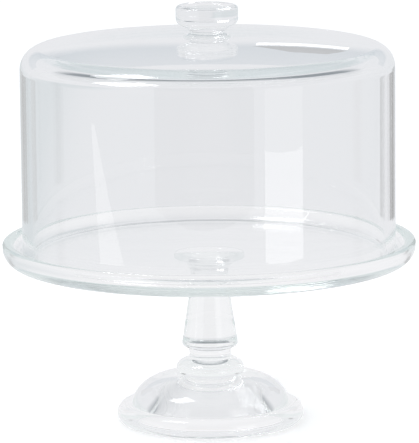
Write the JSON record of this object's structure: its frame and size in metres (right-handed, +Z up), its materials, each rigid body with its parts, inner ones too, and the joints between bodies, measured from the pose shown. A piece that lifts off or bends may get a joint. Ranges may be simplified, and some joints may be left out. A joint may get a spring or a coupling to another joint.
{
  "type": "cake stand with dome",
  "caption": "Clear glass footed cake stand with a raised rim and a thick straight-sided glass dome that lifts off by its round knob.",
  "frame": {"origin": "on the axis at table level, at the middle of the foot's resting ring", "axes": "+Z up along the axis all pieces are turned about; X and Y are alike, and the front seen in the picture is -Y"},
  "size_m": [0.3046, 0.3046, 0.3106],
  "materials": {
    "stand_glass": "pressed clear soda-lime glass, fire polished",
    "dome_glass": "clear soda-lime glass, fire polished, faintly wavy",
    "clear_adhesive": "clear cured adhesive film"
  },
  "bodies": {
    "stand": {"pedestal": "stand_glass", "plate_bond": "clear_adhesive", "plate": "stand_glass"},
    "dome": {"dome_shell": "dome_glass", "knob_bond": "clear_adhesive", "dome_knob": "dome_glass"}
  },
  "joints": [
    {"name": "dome_lift", "type": "slide", "parent": "stand", "child": "dome", "axis": [0, 0, 1], "range_m": [0, 0.18]}
  ]
}
